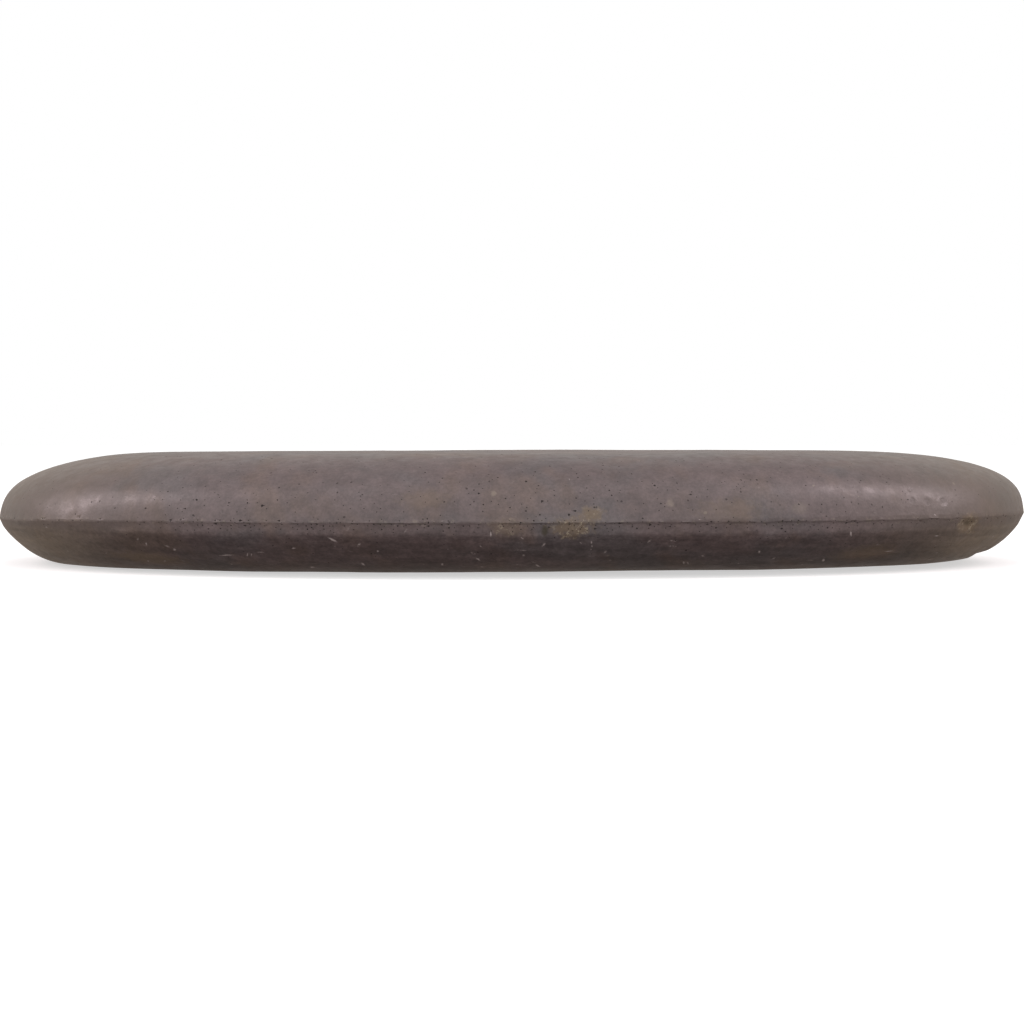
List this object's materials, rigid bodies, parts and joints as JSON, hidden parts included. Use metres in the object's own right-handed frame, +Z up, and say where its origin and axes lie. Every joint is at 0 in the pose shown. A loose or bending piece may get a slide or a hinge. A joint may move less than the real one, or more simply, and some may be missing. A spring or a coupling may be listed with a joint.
{
  "type": "massage stone",
  "caption": "Large flat oval stone with a domed top, an undercut belly and a flat foot, warmed and laid on the body or used as a hand massage tool.",
  "frame": {"origin": "on the surface that the stone lies on, under the middle of its length and width", "axes": "+X along the stone towards its narrower end, +Y across it, +Z up through its thickness; the pictured side faces -Y"},
  "size_m": [0.16, 0.1, 0.0175],
  "materials": {
    "basalt": "ground and polished to a satin, dark brown-grey with fine black pits and a few tan mineral patches"
  },
  "bodies": {
    "root": {"massage_stone": "basalt"}
  },
  "joints": []
}
